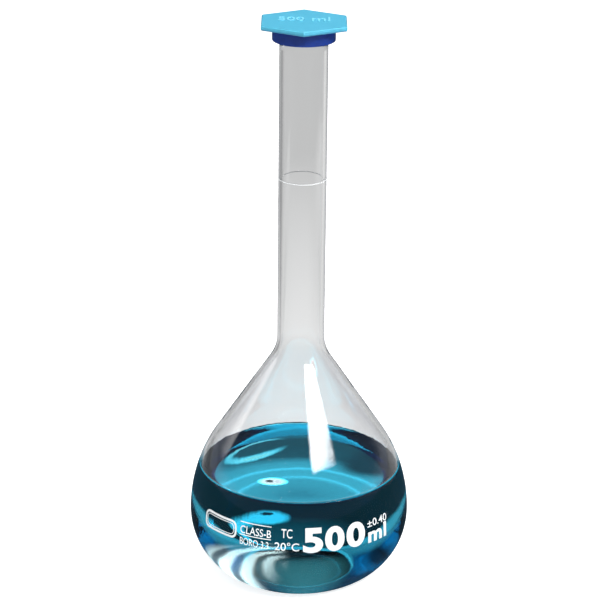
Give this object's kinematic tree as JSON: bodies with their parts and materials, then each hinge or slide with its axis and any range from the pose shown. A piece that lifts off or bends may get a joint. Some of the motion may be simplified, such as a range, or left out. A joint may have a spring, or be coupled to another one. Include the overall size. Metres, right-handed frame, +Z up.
{
  "type": "volumetric flask",
  "caption": "Pear-shaped volumetric flask of clear glass with a long neck, a graduation line, white capacity marks, a blue hexagonal snap cap and blue solution in the bulb.",
  "frame": {"origin": "middle of the flat base, on the surface the flask stands on", "axes": "+Z up along the flask's axis, through the neck; the printed marks face -Y and read towards +X"},
  "size_m": [0.1, 0.1005, 0.2583],
  "materials": {
    "borosilicate_glass": "clear, smooth, fire-polished",
    "blue_solution": "clear blue liquid, still surface",
    "white_enamel": "fired white enamel, slightly rough",
    "blue_polyethylene": "moulded, semi-matt"
  },
  "bodies": {
    "flask": {"flask_body": "borosilicate_glass", "solution": "blue_solution", "graduation_ring": "white_enamel", "digit_5": "white_enamel", "digit_0_first": "white_enamel", "digit_0_second": "white_enamel", "unit_m": "white_enamel", "unit_l": "white_enamel", "patch_frame": "white_enamel", "rule_upper": "white_enamel", "rule_lower": "white_enamel"},
    "cap": {"snap_cap": "blue_polyethylene"}
  },
  "joints": [
    {"name": "cap_lift", "type": "slide", "parent": "flask", "child": "cap", "axis": [0, 0, 1], "range_m": [0, 0.03]}
  ]
}
